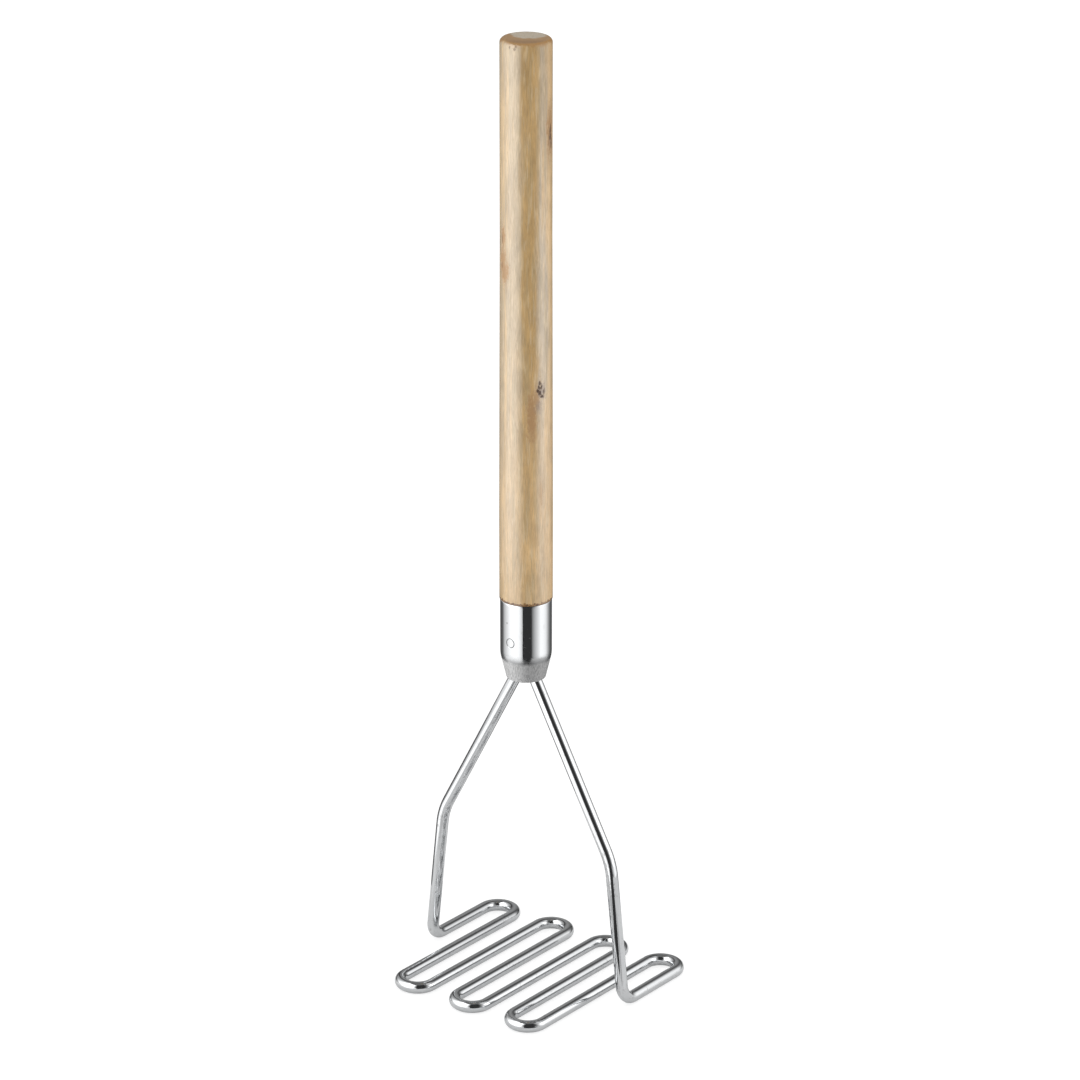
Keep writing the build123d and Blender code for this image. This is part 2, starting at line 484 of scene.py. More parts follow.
def carved(piece, cutters):
    """The piece with each cutter taken out of it, and points that then coincide merged."""
    name = piece.name
    for cutter in cutters:
        modifier = piece.modifiers.new("Cut", "BOOLEAN")
        modifier.operation = "DIFFERENCE"
        modifier.solver = "EXACT"
        modifier.object = cutter
    piece.name = name + "_blank"
    cut = settled(piece, name)
    for cutter in cutters:
        bpy.data.objects.remove(cutter)
    shape = bmesh.new()
    shape.from_mesh(cut.data)
    bmesh.ops.remove_doubles(shape, verts=shape.verts, dist=WELD_DISTANCE)
    shape.to_mesh(cut.data)
    shape.free()
    return cut


def smooth(piece, sharpest=PIECE_CREASE):
    """Smooth shading, with creases kept sharp."""
    piece.data.shade_smooth()
    piece.data.set_sharp_from_angle(angle=math.radians(sharpest))


def placed(piece, node, finish):
    """Gives a finished piece its material and its body, and hides the node it stands for."""
    piece.data.materials.clear()
    piece.data.materials.append(finish)
    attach(piece, "root")
    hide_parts(node)


def wire_cutter(masher):
    """The wire with clearance all round, which opens its holes."""
    diameter = masher.wire.wire_diameter + 2 * masher.ferrule.clearance
    top = masher.wire.shank_top + masher.handle.hole_overrun
    return bent_wire("wire_cutter", masher.wire, None, wire_diameter=diameter, shank_top=top)


def rivet_form(name, masher, room=0.0, overrun=0.0):
    """
    The rivet, with ends that follow the ferrule's tube. With room round it and an
    overrun at its ends it is the cutter of its own seat.
    """
    rivet, tube = masher.rivet, masher.ferrule.outside_radius
    edge = rivet.edge
    shank, head = rivet.diameter / 2 + room, rivet.head_diameter / 2 + room
    edge_low = tube - rivet.head_land
    cone_low = edge_low - (head - shank)
    half = [(shank, cone_low, 0.0), (head, edge_low, 0.0)]
    if overrun:
        flared, end = head + edge, tube + overrun
        half += [(head, tube - edge, 0.0), (flared, tube, 0.0), (flared, end, 0.0), (0.0, end, 0.0)]
    else:
        half += [(head, tube, edge), (0.0, tube, 0.0)]
    mirrored = [(radius, -height, rounding) for radius, height, rounding in reversed(half)]
    piece = turned(name, rounded(mirrored + half, RIVET_STEP), RIVET_SIDES)
    piece.data.transform(Matrix.Rotation(math.radians(90), 4, "X"))
    for vertex in piece.data.vertices:
        if abs(vertex.co.y) > edge_low - HEAD_MARGIN:
            drop = tube - math.sqrt(tube**2 - vertex.co.x**2)
            vertex.co.y -= math.copysign(drop, vertex.co.y)
    piece.data.transform(Matrix.Translation((0.0, 0.0, rivet.axis_height)))
    return piece


# Finishes

TO_MILLIMETRES = (1000.0, 1000.0, 1000.0)
ACROSS_AXIS = (1.0, 1.0, 0.0)
# The Mix node's inputs for its factor and two colours, and its output for a colour
MIX_INPUTS = (0, 6, 7)
MIX_OUTPUT = 2
# Share of the seam's dark tone that the rivet and the tube show
SEAM_SHARE = 0.85


class Finish(Net):
    """A material with one Principled shader, and short calls for its patterns."""

    def __init__(self, name):
        self.material = bpy.data.materials.new(name)
        self.material.use_nodes = True
        super().__init__(self.material.node_tree)
        self.shader = self.tree.nodes["Principled BSDF"]
        place = self.add("ShaderNodeTexCoord", output="Object")
        self.place = self.vector("MULTIPLY", place, TO_MILLIMETRES)
        self.height = self.add("ShaderNodeSeparateXYZ", (self.place,), output="Z")

    def set(self, **values):
        for name, value in values.items():
            self.join(value, self.shader.inputs[name.replace("_", " ")])

    def stretched(self, across, along, place=None):
        """Coordinates in millimetres divided by a feature's width and length."""
        scale = (1 / across, 1 / across, 1 / along)
        return self.vector("MULTIPLY", place or self.place, scale)

    def noise(self, across, along, detail=3.0, roughness=0.5, shift=(0.0, 0.0, 0.0), place=None):
        """Noise with features of the given width and length in millimetres."""
        moved = self.vector("ADD", self.stretched(across, along, place), shift)
        inputs = {"Vector": moved, "Scale": 1.0, "Detail": detail, "Roughness": roughness}
        return self.add("ShaderNodeTexNoise", inputs)

    def mix(self, factor, first, second):
        """Two tones mixed, each a socket or one of the user's colours."""
        made = self.node("ShaderNodeMix", data_type="RGBA")
        tones = [(*tone, 1.0) if isinstance(tone, Color) else tone for tone in (first, second)]
        for place, value in zip(MIX_INPUTS, (factor, *tones)):
            self.join(value, made.inputs[place])
        return made.outputs[MIX_OUTPUT]

    def bump(self, height, distance, under=None):
        inputs = {"Height": height, "Distance": distance}
        if under:
            inputs["Normal"] = under
        return self.add("ShaderNodeBump", inputs)

    def span(self, place):
        return self.add("ShaderNodeVectorMath", (place,), "Value", operation="LENGTH")

    def along(self, place, way):
        """How far a place lies along a direction."""
        return self.add("ShaderNodeVectorMath", (place, way), "Value", operation="DOT_PRODUCT")

    def reach(self, centre, half_width, half_length):
        """Distance from a mark's centre, 1 at its rim."""
        away = self.vector("SUBTRACT", self.place, centre)
        return self.span(self.stretched(half_width, half_length, away))

    def marked(self, marks, ragged, core=0.45):
        """
        One mask of several marks, each a centre, half width, half length and strength.
        A mark is full inside its core and fades out towards its rim.
        """
        mask = 0.0
        for centre, half_width, half_length, strength in marks:
            reach = self.plus(self.reach(centre, half_width, half_length), ragged)
            mask = self.math("MAXIMUM", mask, self.spread(reach, core, 1.0, strength, 0.0))
        return mask


def about_axis(radius, turn, height):
    """Point in millimetres, by its turn about the axis from -Y in degrees."""
    angle = math.radians(turn - 90.0)
    return Vector((radius * math.cos(angle), radius * math.sin(angle), height))


# Marks on the wood, by colour: turn about the axis from -Y in degrees, height, half
# width and half length in millimetres, and strength. The knots' first rows are the main
# knot, the next two the mark on the right, two on the left, and dots near the top.
STAINS = (
    (50, 379, 4.2, 23.0, 1.0),
    (60, 390, 3.2, 11.0, 0.8),
    (101, 554, 4.8, 22.0, 1.0),
    (-17, 468, 5.2, 11.0, 1.0),
    (-24, 474, 5.0, 13.0, 1.0),
    (-22, 490, 3.2, 9.0, 1.0),
    (72, 330, 2.0, 12.0, 0.4),
)
HALOES = (
    (74, 394, 4.0, 8.0, 0.9),
    (66, 385, 3.6, 6.0, 0.6),
    (101, 548, 2.4, 7.0, 0.3),
)
KNOTS = (
    (68.9, 399.6, 1.2, 2.3, 0.85),
    (66.7, 397, 1.1, 1.8, 1.0),
    (72, 396.8, 1.1, 1.9, 1.0),
    (63.7, 395, 1.2, 1.7, 1.0),
    (68.2, 393.4, 1.3, 2.1, 1.0),
    (74.1, 391.3, 1.5, 1.9, 1.0),
    (79.8, 393.5, 1.1, 2.6, 0.7),
    (103, 552.7, 1.5, 7.0, 0.75),
    (108, 546.5, 1.1, 6.0, 0.8),
    (-26, 488, 1.0, 3.4, 0.5),
    (-27, 471.5, 1.3, 2.6, 0.4),
    (15.6, 607, 1.1, 1.2, 0.7),
    (12.9, 605.3, 1.2, 1.2, 0.6),
    (-0.5, 605.9, 0.9, 1.3, 0.6),
)
# Bands of the sawn blank: the way across them, and the tone at each place in millimetres.
# The way across is the camera's right, so the bands are partly real grain and partly
# painted sheen: paler, greyer cream and pink where the side highlights fall.
GRAIN_AND_SHEEN_SIDE = (0.79, 0.61, 0.0)
GRAIN_AND_SHEEN_BANDS = (
    (-16.0, "cream"), (-13.0, "straw"), (-9.5, "cream"), (-4.5, "cream"), (-0.5, "heart"),
    (4.5, "heart"), (9.5, "pink"), (13.0, "peach"), (16.0, "peach"),
)
# Middle of the part of the flat end that the stain leaves clear, its radius, and half
# the width over which the stain begins
CLEAR_MIDDLE = (-3.0, 6.4, 0.0)
CLEAR_RADIUS = 10.5
CLEAR_FADE = 1.2
# The way across the flat end to the side where its stain is darkest
DARK_SIDE = (0.614, -0.789, 0.0)
# Where the grain flows round a knot: turn, height, half width and half length
EDDIES = ((69, 394, 3.4, 9.0), (102, 552, 2.8, 10.0), (-18, 479, 2.8, 8.0))


def wood_marks(handle, marks):
    """The marks with their centres on the handle's surface."""
    low, high = handle.shoulder + handle.root_parallel, handle.top - handle.end_parallel
    placed_marks = []
    for turn, height, *rest in marks:
        share = min(max((height * MM - low) / (high - low), 0.0), 1.0)
        radius = handle.root_radius + (handle.end_radius - handle.root_radius) * share
        placed_marks.append((about_axis(radius / MM, turn, height), *rest))
    return placed_marks


def flat_end_tone(wood, tones, waver):
    """Tone of the flat free end: end grain, clear on one side and stained on the other."""
    end_grain = wood.vector("MULTIPLY", wood.place, (0.5, 1.3, 0.0))
    end_grain = wood.noise(1.0, 1.0, roughness=0.6, place=end_grain)
    end_grain = wood.spread(end_grain, 0.40, 0.70, 0.0, 0.35)
    clear_tone = wood.mix(end_grain, tones.end_grain, tones.stain)
    stained_tone = wood.mix(0.15, tones.stain, tones.end_grain)
    darker = wood.spread(wood.along(wood.place, DARK_SIDE), 4.0, 12.0, 0.0, 0.25)
    stained_tone = wood.mix(darker, stained_tone, tones.knot)
    from_clear = wood.vector("MULTIPLY", wood.place, ACROSS_AXIS)
    from_clear = wood.vector("SUBTRACT", from_clear, CLEAR_MIDDLE)
    from_clear = wood.plus(wood.span(from_clear), waver)
    stained = wood.spread(from_clear, CLEAR_RADIUS - CLEAR_FADE, CLEAR_RADIUS + CLEAR_FADE)
    return wood.mix(stained, clear_tone, stained_tone)


def wood_finish(masher):
    """Turned hardwood: streaks, fibres, pores and knots under a satin sealer."""
    tones, handle = masher.finishes, masher.handle
    wood = Finish("sealed_hardwood")
    height, top, shoulder = wood.height, handle.top / MM, handle.shoulder / MM

    waver = wood.noise(16.0, 80.0, detail=2.0)
    sway_x, sway_y = wood.slope(waver, 0.2, 0.8, -2.2, 2.2), wood.slope(waver, 0.2, 0.8, 1.8, -1.8)
    bent = wood.vector("ADD", wood.place, wood.xyz(sway_x, sway_y, 0.0))
    for centre, half_width, half_length in wood_marks(handle, EDDIES):
        push = wood.spread(wood.reach(centre, half_width, half_length), 0.0, 2.4, 1.6, 0.0)
        outward = wood.vector("SUBTRACT", wood.place, centre)
        outward = wood.vector("NORMALIZE", wood.vector("MULTIPLY", outward, ACROSS_AXIS))
        outward = wood.vector("MULTIPLY", outward, wood.xyz(push, push, push))
        bent = wood.vector("SUBTRACT", bent, outward)

    broad = wood.noise(4.8, 95.0, detail=2.0, roughness=0.45, place=bent)
    cloud = wood.noise(6.5, 20.0, detail=2.0, shift=(9.0, 2.0, 6.0), place=bent)
    grey = wood.noise(2.4, 42.0, shift=(3.0, 9.0, 4.0), place=bent)
    narrow = wood.noise(1.9, 48.0, shift=(7.0, 3.0, 1.0), place=bent)
    gleam = wood.noise(1.1, 16.0, shift=(2.0, 8.0, 6.0), place=bent)
    fibres = wood.noise(0.40, 6.0, roughness=0.6, shift=(1.0, 5.0, 2.0), place=bent)
    pores = wood.noise(0.34, 2.4, detail=1.0, shift=(4.0, 2.0, 9.0), place=bent)

    # Grain bands across the camera's view, with painted sheen in the paler, greyer tones at its
    # left and right
    across = wood.plus(wood.along(bent, GRAIN_AND_SHEEN_SIDE), wood.slope(broad, 0.30, 0.70, -3.2, 3.2))
    base, before = tones.cream, GRAIN_AND_SHEEN_BANDS[0][0] - 2.0
    for place, tone in GRAIN_AND_SHEEN_BANDS:
        base = wood.mix(wood.spread(across, before, place), base, getattr(tones, tone))
        before = place
    low_down = wood.spread(height, shoulder + 10.0, shoulder + 190.0, 0.7, 0.0)
    base = wood.mix(low_down, base, tones.peach)
    for streaks, low, high, share, tone in (
        (grey, 0.50, 0.64, 0.45, tones.grey),
        (narrow, 0.50, 0.65, 0.35, tones.tan),
        (gleam, 0.52, 0.64, 0.5, tones.pale),
    ):
        base = wood.mix(wood.spread(streaks, low, high, 0.0, share), base, tone)
    fine = wood.slope(fibres, 0.30, 0.75, 0.12, -0.21)
    level = wood.plus(wood.slope(cloud, 0.30, 0.70, 0.87, 1.13), fine)
    level = wood.times(level, wood.spread(height, top - 70.0, top - 10.0, 1.0, 0.95))
    base = wood.vector("MULTIPLY", base, wood.xyz(level, level, level))
    fibre_mask = wood.spread(fibres, 0.52, 0.78, 0.0, 0.2)
    pore_mask = wood.spread(pores, 0.68, 0.80, 0.0, 0.5)

    ragged = wood.noise(1.0, 2.4, roughness=0.6)
    ragged = wood.slope(ragged, 0.3, 0.7, -0.35, 0.35)
    stain_mask = wood.marked(wood_marks(handle, STAINS), ragged, 0.3)
    halo_mask = wood.marked(wood_marks(handle, HALOES), ragged, 0.1)
    knot_mask = wood.marked(wood_marks(handle, KNOTS), ragged)

    band_waver = wood.noise(5.0, 5.0, detail=2.0, shift=(5.0, 5.0, 5.0))
    band_waver = wood.slope(band_waver, 0.3, 0.7, -1.0, 1.0)
    into_band = wood.spread(wood.plus(height, band_waver), top - 2.8, top - 0.6, 0.0, 0.9)
    on_end = wood.spread(height, top - 0.5, top - 0.15)
    # Dark ragged line on the wood just above the shoulder, with darker specks: partly a glue line,
    # partly painted shade where the wood meets the ferrule's rim
    line_rise = wood.noise(2.2, 2.2)
    over_line = wood.minus(height, wood.slope(line_rise, 0.3, 0.7, 0.7, 2.5))
    line_mask = wood.spread(over_line, shoulder - 0.4, shoulder + 0.4, 1.0, 0.0)
    line_specks = wood.noise(0.8, 0.8, detail=2.0, shift=(6.0, 1.0, 3.0))
    line_tone = wood.mix(wood.spread(line_specks, 0.48, 0.60), tones.glue_and_shade, tones.knot)
    for mask, tone in (
        (fibre_mask, tones.fibre),
        (pore_mask, tones.fibre),
        (stain_mask, tones.stain),
        (halo_mask, tones.halo),
        (knot_mask, tones.knot),
        (into_band, tones.stain),
        (on_end, flat_end_tone(wood, tones, band_waver)),
        (line_mask, line_tone),
    ):
        base = wood.mix(mask, base, tone)

    dents = wood.plus(wood.times(fibre_mask, -0.6), wood.times(pore_mask, -1.0))
    dents = wood.plus(dents, wood.times(knot_mask, -1.5))
    rough_marks = wood.times(wood.plus(wood.times(knot_mask, 2.0), stain_mask), 0.25)
    shine = wood.plus(wood.spread(fibres, 0.3, 0.7, 0.20, 0.27), rough_marks)
    wood.set(
        Base_Color=base,
        Roughness=shine,
        Normal=wood.bump(cloud, 0.18 * MM, wood.bump(dents, 0.04 * MM)),
        IOR=1.5,
        Specular_IOR_Level=1.0,
    )
    return wood.material


def rivet_seam(plate, masher):
    """Mask of the thin dull line round the rivet's dressed head."""
    across = plate.vector("SUBTRACT", plate.place, (0.0, 0.0, masher.rivet.axis_height / MM))
    across = plate.span(plate.vector("MULTIPLY", across, (1.0, 0.0, 1.0)))
    off_line = plate.math("ABSOLUTE", plate.minus(across, masher.rivet.head_diameter / 2 / MM))
    return plate.spread(off_line, 0.1, 0.38, 1.0, 0.0)


# Small pits in the ferrule's plate, laid out as the marks on the wood are
PITS = (
    (-9.2, 243.7, 0.8, 0.8, 1.0),
    (46.3, 235.8, 0.6, 0.6, 1.0),
    (36, 229.5, 0.55, 0.55, 1.0),
    (28, 239, 0.3, 0.3, 0.5),
    (118, 246, 0.4, 0.6, 0.6),
    (201, 233, 0.5, 0.4, 0.7),
)


def tube_chrome(masher):
    """Bright plate on the drawn tube, and dull brushed metal on its tapered nose."""
    tones, tube = masher.finishes, masher.ferrule
    plate = Finish("ferrule_plate")
    taper_top = (tube.nose_face + tube.nose_length) / MM
    lines = plate.noise(0.5, 9.0, roughness=0.6)
    cloud = plate.noise(5.0, 9.0, detail=2.0)
    brushed = plate.noise(0.55, 9.0, roughness=0.65, shift=(2.0, 2.0, 2.0))
    patches = plate.noise(3.2, 4.0, detail=2.0, shift=(8.0, 1.0, 3.0))

    nose_edge = plate.plus(plate.height, plate.slope(patches, 0.3, 0.7, -0.5, 0.5))
    nose = plate.spread(nose_edge, taper_top - 3.6, taper_top - 1.4, 1.0, 0.0)
    # A ring round the bend where the taper meets the tube, mixed towards the seam's dark tone and
    # made rougher
    bend = plate.spread(plate.height, taper_top - 3.0, taper_top + 4.0, 1.0, 0.0)
    streaks = plate.spread(brushed, 0.46, 0.66, 0.0, 0.5)
    nose_tone = plate.mix(streaks, tones.brushed, tones.seam)
    dull = plate.spread(cloud, 0.55, 0.8, 0.0, 0.2)
    base = plate.mix(dull, tones.chrome, tones.worn_chrome)
    base = plate.mix(plate.times(bend, 0.8), base, tones.seam)
    base = plate.mix(nose, base, nose_tone)

    seam = rivet_seam(plate, masher)
    radius = tube.outside_radius / MM
    pits = [(about_axis(radius, turn, height), *rest) for turn, height, *rest in PITS]
    worn = plate.math("MAXIMUM", plate.times(seam, SEAM_SHARE), plate.marked(pits, 0.0))
    base = plate.mix(worn, base, tones.seam)
    tube_rough = plate.spread(lines, 0.3, 0.75, 0.05, 0.11)
    tube_rough = plate.plus(tube_rough, plate.times(bend, 0.30))
    nose_rough = plate.spread(brushed, 0.3, 0.7, 0.66, 0.78)
    roughness = plate.plus(plate.times(nose, plate.minus(nose_rough, tube_rough)), tube_rough)
    roughness = plate.plus(roughness, plate.times(worn, 0.4))
    relief = plate.plus(lines, plate.times(plate.times(nose, brushed), 4.0))
    plate.set(
        Base_Color=base,
        Metallic=1.0,
        Roughness=roughness,
        Normal=plate.bump(cloud, 0.015 * MM, plate.bump(relief, 0.0015 * MM)),
    )
    return plate.material


def wire_chrome(masher):
    """Plate on drawn wire, mottled and a little dull at the bends."""
    tones, wire = masher.finishes, masher.wire
    plate = Finish("chrome_on_drawn_wire")
    drawn = plate.add("ShaderNodeAttribute", output="Vector", attribute_name="drawn")
    drawn = plate.vector("MULTIPLY", drawn, TO_MILLIMETRES)
    lines = plate.noise(0.5, 14.0, roughness=0.6, place=drawn)
    mottle = plate.noise(1.5, 2.4, roughness=0.6, place=drawn)
    patches = plate.noise(9.0, 16.0, detail=2.0, shift=(2.0, 0.0, 5.0))

    from_knee = plate.math("ABSOLUTE", plate.minus(plate.height, wire.knee_height / MM - 6.0))
    near_bend = plate.spread(from_knee, 6.0, 26.0, 0.9, 0.0)
    near_foot = plate.spread(plate.height, 8.0, 30.0, 0.7, 0.0)
    near_foot = plate.times(near_foot, plate.spread(plate.height, 6.0, 9.0))
    dull = plate.math("MAXIMUM", near_bend, near_foot)
    dull = plate.math("MAXIMUM", plate.spread(patches, 0.48, 0.66, 0.08, 0.6), dull)
    dull = plate.times(plate.spread(mottle, 0.52, 0.68), dull)
    ripple = plate.times(mottle, plate.plus(dull, 0.12))
    plate.set(
        Base_Color=plate.mix(dull, tones.chrome, tones.worn_chrome),
        Metallic=1.0,
        Roughness=plate.plus(plate.spread(lines, 0.3, 0.75, 0.06, 0.11), plate.times(dull, 0.16)),
        Normal=plate.bump(ripple, 0.018 * MM, plate.bump(lines, 0.0015 * MM)),
    )
    return plate.material


def rivet_steel(masher):
    """Rivet head dressed flush and polished with the tube, with a dull seam round it."""
    tones = masher.finishes
    steel = Finish("polished_rivet_steel")
    lines = steel.noise(2.5, 1 / 3)
    seam = steel.times(rivet_seam(steel, masher), SEAM_SHARE)
    dull = steel.spread(lines, 0.45, 0.8, 0.0, 0.3)
    base = steel.mix(dull, tones.chrome, tones.worn_chrome)
    steel.set(
        Base_Color=steel.mix(seam, base, tones.seam),
        Metallic=1.0,
        Roughness=steel.plus(steel.spread(lines, 0.3, 0.75, 0.07, 0.15), steel.times(seam, 0.3)),
        Normal=steel.bump(lines, 0.002 * MM),
    )
    return steel.material


# Operators


class MASHER_OT_wire(bpy.types.Operator):
    """Bends one wire into shanks, legs and winding head"""

    bl_idname = "masher.bend_wire"
    bl_label = "Bend the wire"

    def execute(self, context):
        masher = context.scene.masher
        finish = wire_chrome(masher)
        wire = bent_wire("wire_legs_and_head", masher.wire, finish)
        smooth(wire, WIRE_CREASE)
        placed(wire, "mashing_wire", finish)
        return {"FINISHED"}


class MASHER_OT_ferrule(bpy.types.Operator):
    """Turns the ferrule's tube and tapered nose, and opens its holes"""

    bl_idname = "masher.draw_ferrule"
    bl_label = "Draw the ferrule"

    def execute(self, context):
        masher = context.scene.masher
        tube = masher.ferrule
        outside, bore = tube.outside_radius, tube.outside_radius - tube.wall
        taper_top = tube.nose_face + tube.nose_length
        corners = (
            (0.0, tube.nose_face, 0.0),
            (tube.nose_radius, tube.nose_face, tube.nose_edge),
            (outside, taper_top, tube.taper_blend),
            (outside, tube.rim, tube.rim_edge),
            (bore, tube.rim, 0.0),
            (bore, taper_top, 0.0),
            (tube.nose_radius - tube.wall, tube.nose_face + tube.nose_floor, 0.0),
            (0.0, tube.nose_face + tube.nose_floor, 0.0),
        )
        blank = turned("ferrule_tube_and_nose", rounded(corners, TUBE_STEP), tube.sides)
        rivet_seat = rivet_form("rivet_seat", masher, masher.rivet.clearance, CUT_OVERRUN)
        ferrule = carved(blank, [wire_cutter(masher), rivet_seat])
        smooth(ferrule)
        placed(ferrule, "ferrule", tube_chrome(masher))
        return {"FINISHED"}


class MASHER_OT_rivet(bpy.types.Operator):
    """Makes the cross rivet with both heads dressed flush"""

    bl_idname = "masher.fit_rivet"
    bl_label = "Fit the rivet"

    def execute(self, context):
        masher = context.scene.masher
        rivet = rivet_form("rivet_across_ferrule", masher)
        smooth(rivet)
        placed(rivet, "cross_rivet", rivet_steel(masher))
        return {"FINISHED"}


class MASHER_OT_handle(bpy.types.Operator):
    """Turns the handle with its tenon, and drills it for the wire and the rivet"""

    bl_idname = "masher.turn_handle"
    bl_label = "Turn the handle"

    def execute(self, context):
        masher = context.scene.masher
        wood = masher.handle
        corners = (
            (0.0, wood.tenon_end, 0.0),
            (wood.tenon_radius - wood.tenon_chamfer, wood.tenon_end, 0.0),
            (wood.tenon_radius, wood.tenon_end + wood.tenon_chamfer, 0.0),
            (wood.tenon_radius, wood.shoulder, 0.0),
            (wood.root_radius, wood.shoulder, wood.shoulder_edge),
            (wood.root_radius, wood.shoulder + wood.root_parallel, 0.0),
            (wood.end_radius, wood.top - wood.end_parallel, 0.0),
            (wood.end_radius, wood.top, wood.end_round),
            (0.0, wood.top, 0.0),
        )
        blank = turned("turned_handle", rounded(corners, HANDLE_STEP), wood.sides)
        rivet_hole = rivet_form("rivet_hole", masher, masher.rivet.clearance, CUT_OVERRUN)
        handle = carved(blank, [wire_cutter(masher), rivet_hole])
        smooth(handle)
        placed(handle, "handle", wood_finish(masher))
        return {"FINISHED"}


# Stage

# Heights over which a card goes from its stops to its high stops, and then to a share
# of those
HIGH_RISE = (0.085, 0.125)
TOP_FADE = (0.34, 0.43)
RIGHT_TOP_SHARE = 0.4
# Degrees of a card's width in one face
CARD_STEP = 4.0
# Floor to the place where the back card changes, and the rise of the ceiling card
BACK_SPLIT = 0.62
CEILING_RISE = 0.2
# Floor to the cards that lie on it
LYING = 0.3 * MM
FLOOR_REACH = 8.0
SOFTBOX_AWAY = 1.7
SOFTBOX_SIZE = (1.0, 1.3)
SOFTBOX_AIM = Vector((0.0, 0.0, 0.3))


def flat_mesh(name, points, faces):
    mesh = bpy.data.meshes.new(name)
    mesh.from_pydata(points, [], faces)
    return linked(name, mesh)


def bare_material(name):
    """A material without a shader, and its nodes."""
    material = bpy.data.materials.new(name)
    material.use_nodes = True
    net = Net(material.node_tree)
    net.tree.nodes.remove(net.tree.nodes["Principled BSDF"])
    return material, net


def strength_curve(net, place, stops):
    """Strength along the card's width, from (place, strength) stops."""
    curve = net.node("ShaderNodeFloatCurve", {"Value": place})
    strongest = max(strength for _, strength in stops)
    points = curve.mapping.curves[0].points
    while len(points) < len(stops):
        points.new(0.5, 0.5)
    for point, (place_on_card, strength) in zip(points, stops):
        point.location = (place_on_card, strength / strongest)
        point.handle_type = "AUTO_CLAMPED"
    curve.mapping.update()
    return net.times(curve.outputs[0], strongest)


def glow(name, stops, high_stops, top_share):
    """Emission by the stops low down, by the high stops above, and by a share of those on top."""
    material, net = bare_material(name)
    place = net.add("ShaderNodeUVMap", uv_map="place")
    place, height, _ = net.node("ShaderNodeSeparateXYZ", (place,)).outputs
    strength = strength_curve(net, place, stops)
    if high_stops:
        gain = net.minus(strength_curve(net, place, high_stops), strength)
        strength = net.plus(strength, net.times(gain, net.slope(height, *HIGH_RISE)))
        strength = net.times(strength, net.slope(height, *TOP_FADE, 1.0, top_share))
    light = net.add("ShaderNodeEmission", {"Strength": strength})
    net.join(light, net.tree.nodes["Material Output"].inputs["Surface"])
    return material


def card(name, camera_turn, stops, near, far, low, high, high_stops=(), top_share=1.0):
    """
    Curved card round the object that only reflections see. Its stops are pairs of an
    angle from the camera's side and a strength. It runs from the near radius at its
    low edge to the far radius at its high edge, so equal heights make it lie flat.
    """
    start, end = stops[0][0], stops[-1][0]
    parts = round((end - start) / CARD_STEP)
    points, shares = [], []
    for part in range(parts + 1):
        angle = camera_turn + math.radians(start + (end - start) * part / parts - 90.0)
        across, away = math.cos(angle), math.sin(angle)
        points += [(near * across, near * away, low), (far * across, far * away, high)]
        shares += [(part / parts, low), (part / parts, high)]
    faces = [(2 * p, 2 * p + 2, 2 * p + 3, 2 * p + 1) for p in range(parts)]
    made = flat_mesh(name, points, faces)
    places = made.data.uv_layers.new(name="place")
    for loop in made.data.loops:
        places.data[loop.index].uv = shares[loop.vertex_index]
    by_share = [
        [((angle - start) / (end - start), strength) for angle, strength in some]
        for some in (stops, high_stops)
    ]
    made.data.materials.append(glow(name + "_glow", *by_share, top_share))
    for ray in ("camera", "diffuse", "transmission", "shadow"):
        setattr(made, "visible_" + ray, False)


# Strengths of the cards by the angle from the camera's side, camera's right positive
LEFT_STOPS = (
    (-150, 0.10), (-130, 0.13), (-110, 0.74), (-90, 1.2),
    (-70, 1.6), (-50, 1.7), (-30, 1.5), (-22, 1.15), (-15.5, 0.90),
)
LEFT_HIGH_STOPS = (
    (-150, 0.35), (-135, 0.55), (-122, 0.95), (-106, 1.6), (-90, 2.7), (-74, 3.7),
    (-60, 3.8), (-47, 3.4), (-35, 2.3), (-27, 1.4), (-20, 0.4), (-15.5, 0.05),
)
FRONT_STOPS = ((-15.5, 0.045), (24, 0.045))
RIGHT_STOPS = (
    (24, 0.10), (31, 0.40), (40, 0.70), (50, 1.0), (60, 1.30),
    (70, 1.55), (90, 1.40), (110, 0.74), (130, 0.20), (150, 0.07),
)
RIGHT_HIGH_STOPS = (
    (24, 0.05), (31, 0.10), (38, 0.3), (47, 0.8), (60, 1.8), (74, 2.5),
    (88, 2.0), (100, 1.45), (110, 1.25), (123, 0.70), (137, 0.26), (150, 0.13),
)
BACK_STOPS = (
    (150, 0.08), (168, 0.28), (180, 0.36), (192, 0.28), (206, 0.08), (210, 0.08),
)
BACK_HIGH_STOPS = ((150, 0.16), (210, 0.16))
CEILING_STOPS = ((-180, 0.20), (180, 0.20))
LOW_BACK_STOPS = (
    (112, 0.55), (128, 0.15), (145, 0.04), (215, 0.04), (232, 0.15), (248, 0.55),
)
LOW_LEFT_STOPS = ((-105, 1.7), (-20, 1.7))
LOW_NEAR_STOPS = ((-105, 1.0), (-85, 0.95), (-60, 0.75), (-20, 0.55))
LOW_RIGHT_STOPS = ((30, 0.35), (50, 0.9), (110, 0.9))


def floor_material(stage):
    """Pale paint that the camera sees glowing, and reflections hardly, so shadows stay soft."""
    material, net = bare_material("pale_floor")
    paint = net.add("ShaderNodeBsdfDiffuse", {"Color": (0.82, 0.82, 0.82, 1.0)})
    white = net.add("ShaderNodeEmission", {"Strength": stage.floor_white})
    path = net.node("ShaderNodeLightPath").outputs
    seen = net.times(path["Is Camera Ray"], stage.floor_seen)
    reflected = net.times(path["Is Glossy Ray"], stage.floor_reflected)
    both = net.add("ShaderNodeMixShader", (net.math("MAXIMUM", seen, reflected), paint, white))
    net.join(both, net.tree.nodes["Material Output"].inputs["Surface"])
    return material


